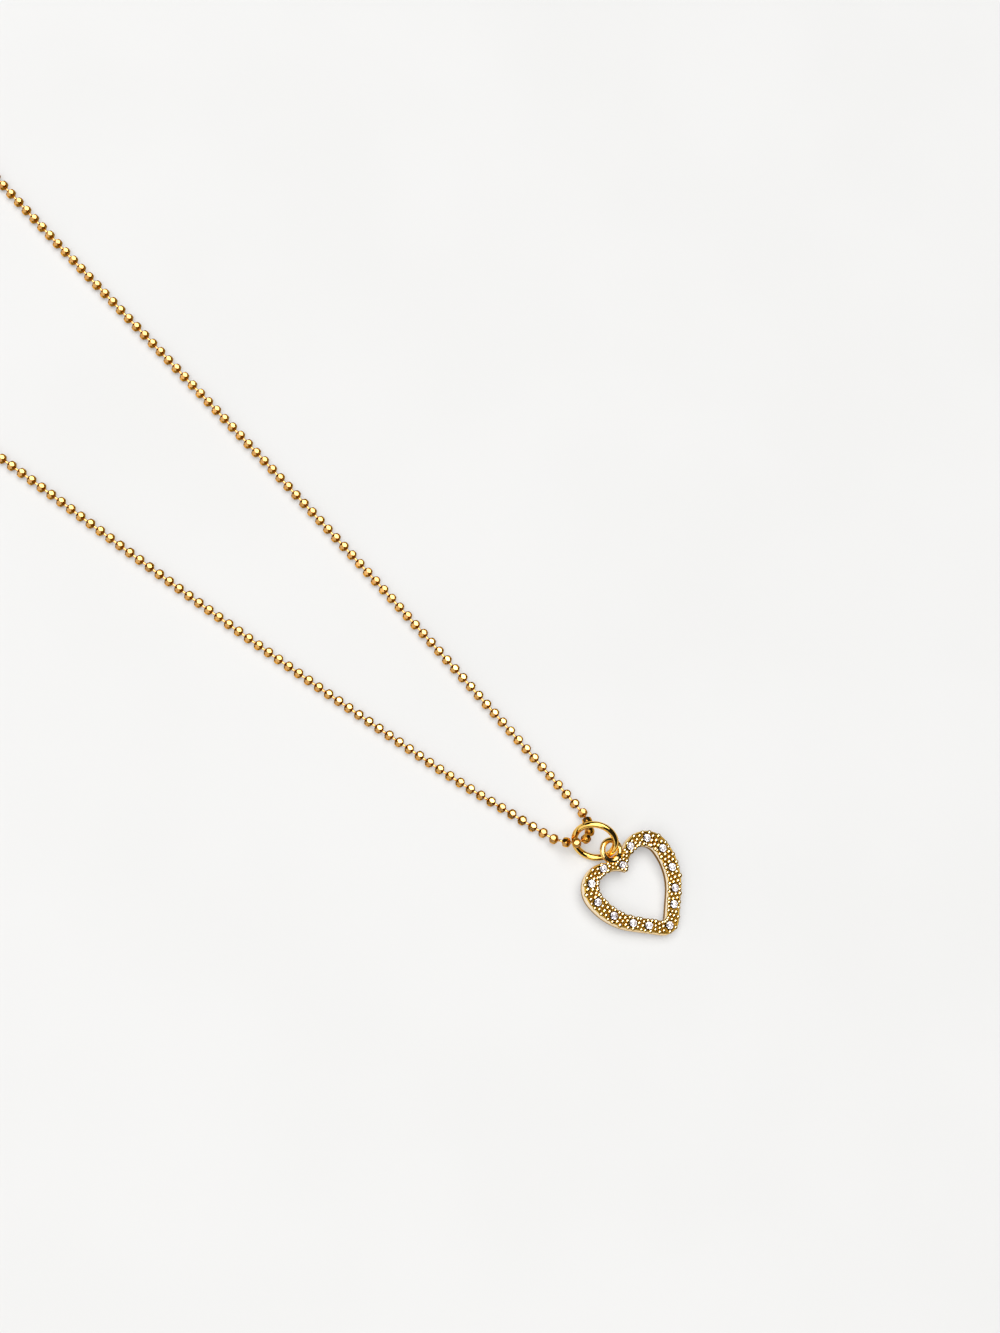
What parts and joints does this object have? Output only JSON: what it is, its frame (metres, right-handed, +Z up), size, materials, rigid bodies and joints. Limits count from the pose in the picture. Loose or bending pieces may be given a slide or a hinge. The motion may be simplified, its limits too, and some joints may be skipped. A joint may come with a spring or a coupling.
{
  "type": "heart pendant necklace",
  "caption": "Small open heart pendant set with round clear stones, on a jump ring and a fine bead chain, lying flat.",
  "frame": {"origin": "centre of the whole necklace's box, on the surface that it lies on", "axes": "+Y along the necklace from the heart towards the clasp, +Z up out of the surface, +X to the right"},
  "size_m": [0.0484, 0.2256, 0.0053],
  "materials": {
    "heart_gold": "polished gold plate",
    "ring_gold": "polished gold plate",
    "chain_gold": "polished gold plate, diamond cut",
    "clasp_gold": "polished gold plate",
    "stone_clear": "clear cut stone"
  },
  "bodies": {
    "root": {"heart_frame": "heart_gold", "stone_01": "stone_clear", "stone_02": "stone_clear", "stone_03": "stone_clear", "stone_04": "stone_clear", "stone_05": "stone_clear", "stone_06": "stone_clear", "stone_07": "stone_clear", "stone_08": "stone_clear", "stone_09": "stone_clear", "stone_10": "stone_clear", "stone_11": "stone_clear", "stone_12": "stone_clear", "stone_13": "stone_clear", "stone_14": "stone_clear", "jump_ring": "ring_gold", "chain": "chain_gold", "clasp": "clasp_gold"}
  },
  "joints": []
}
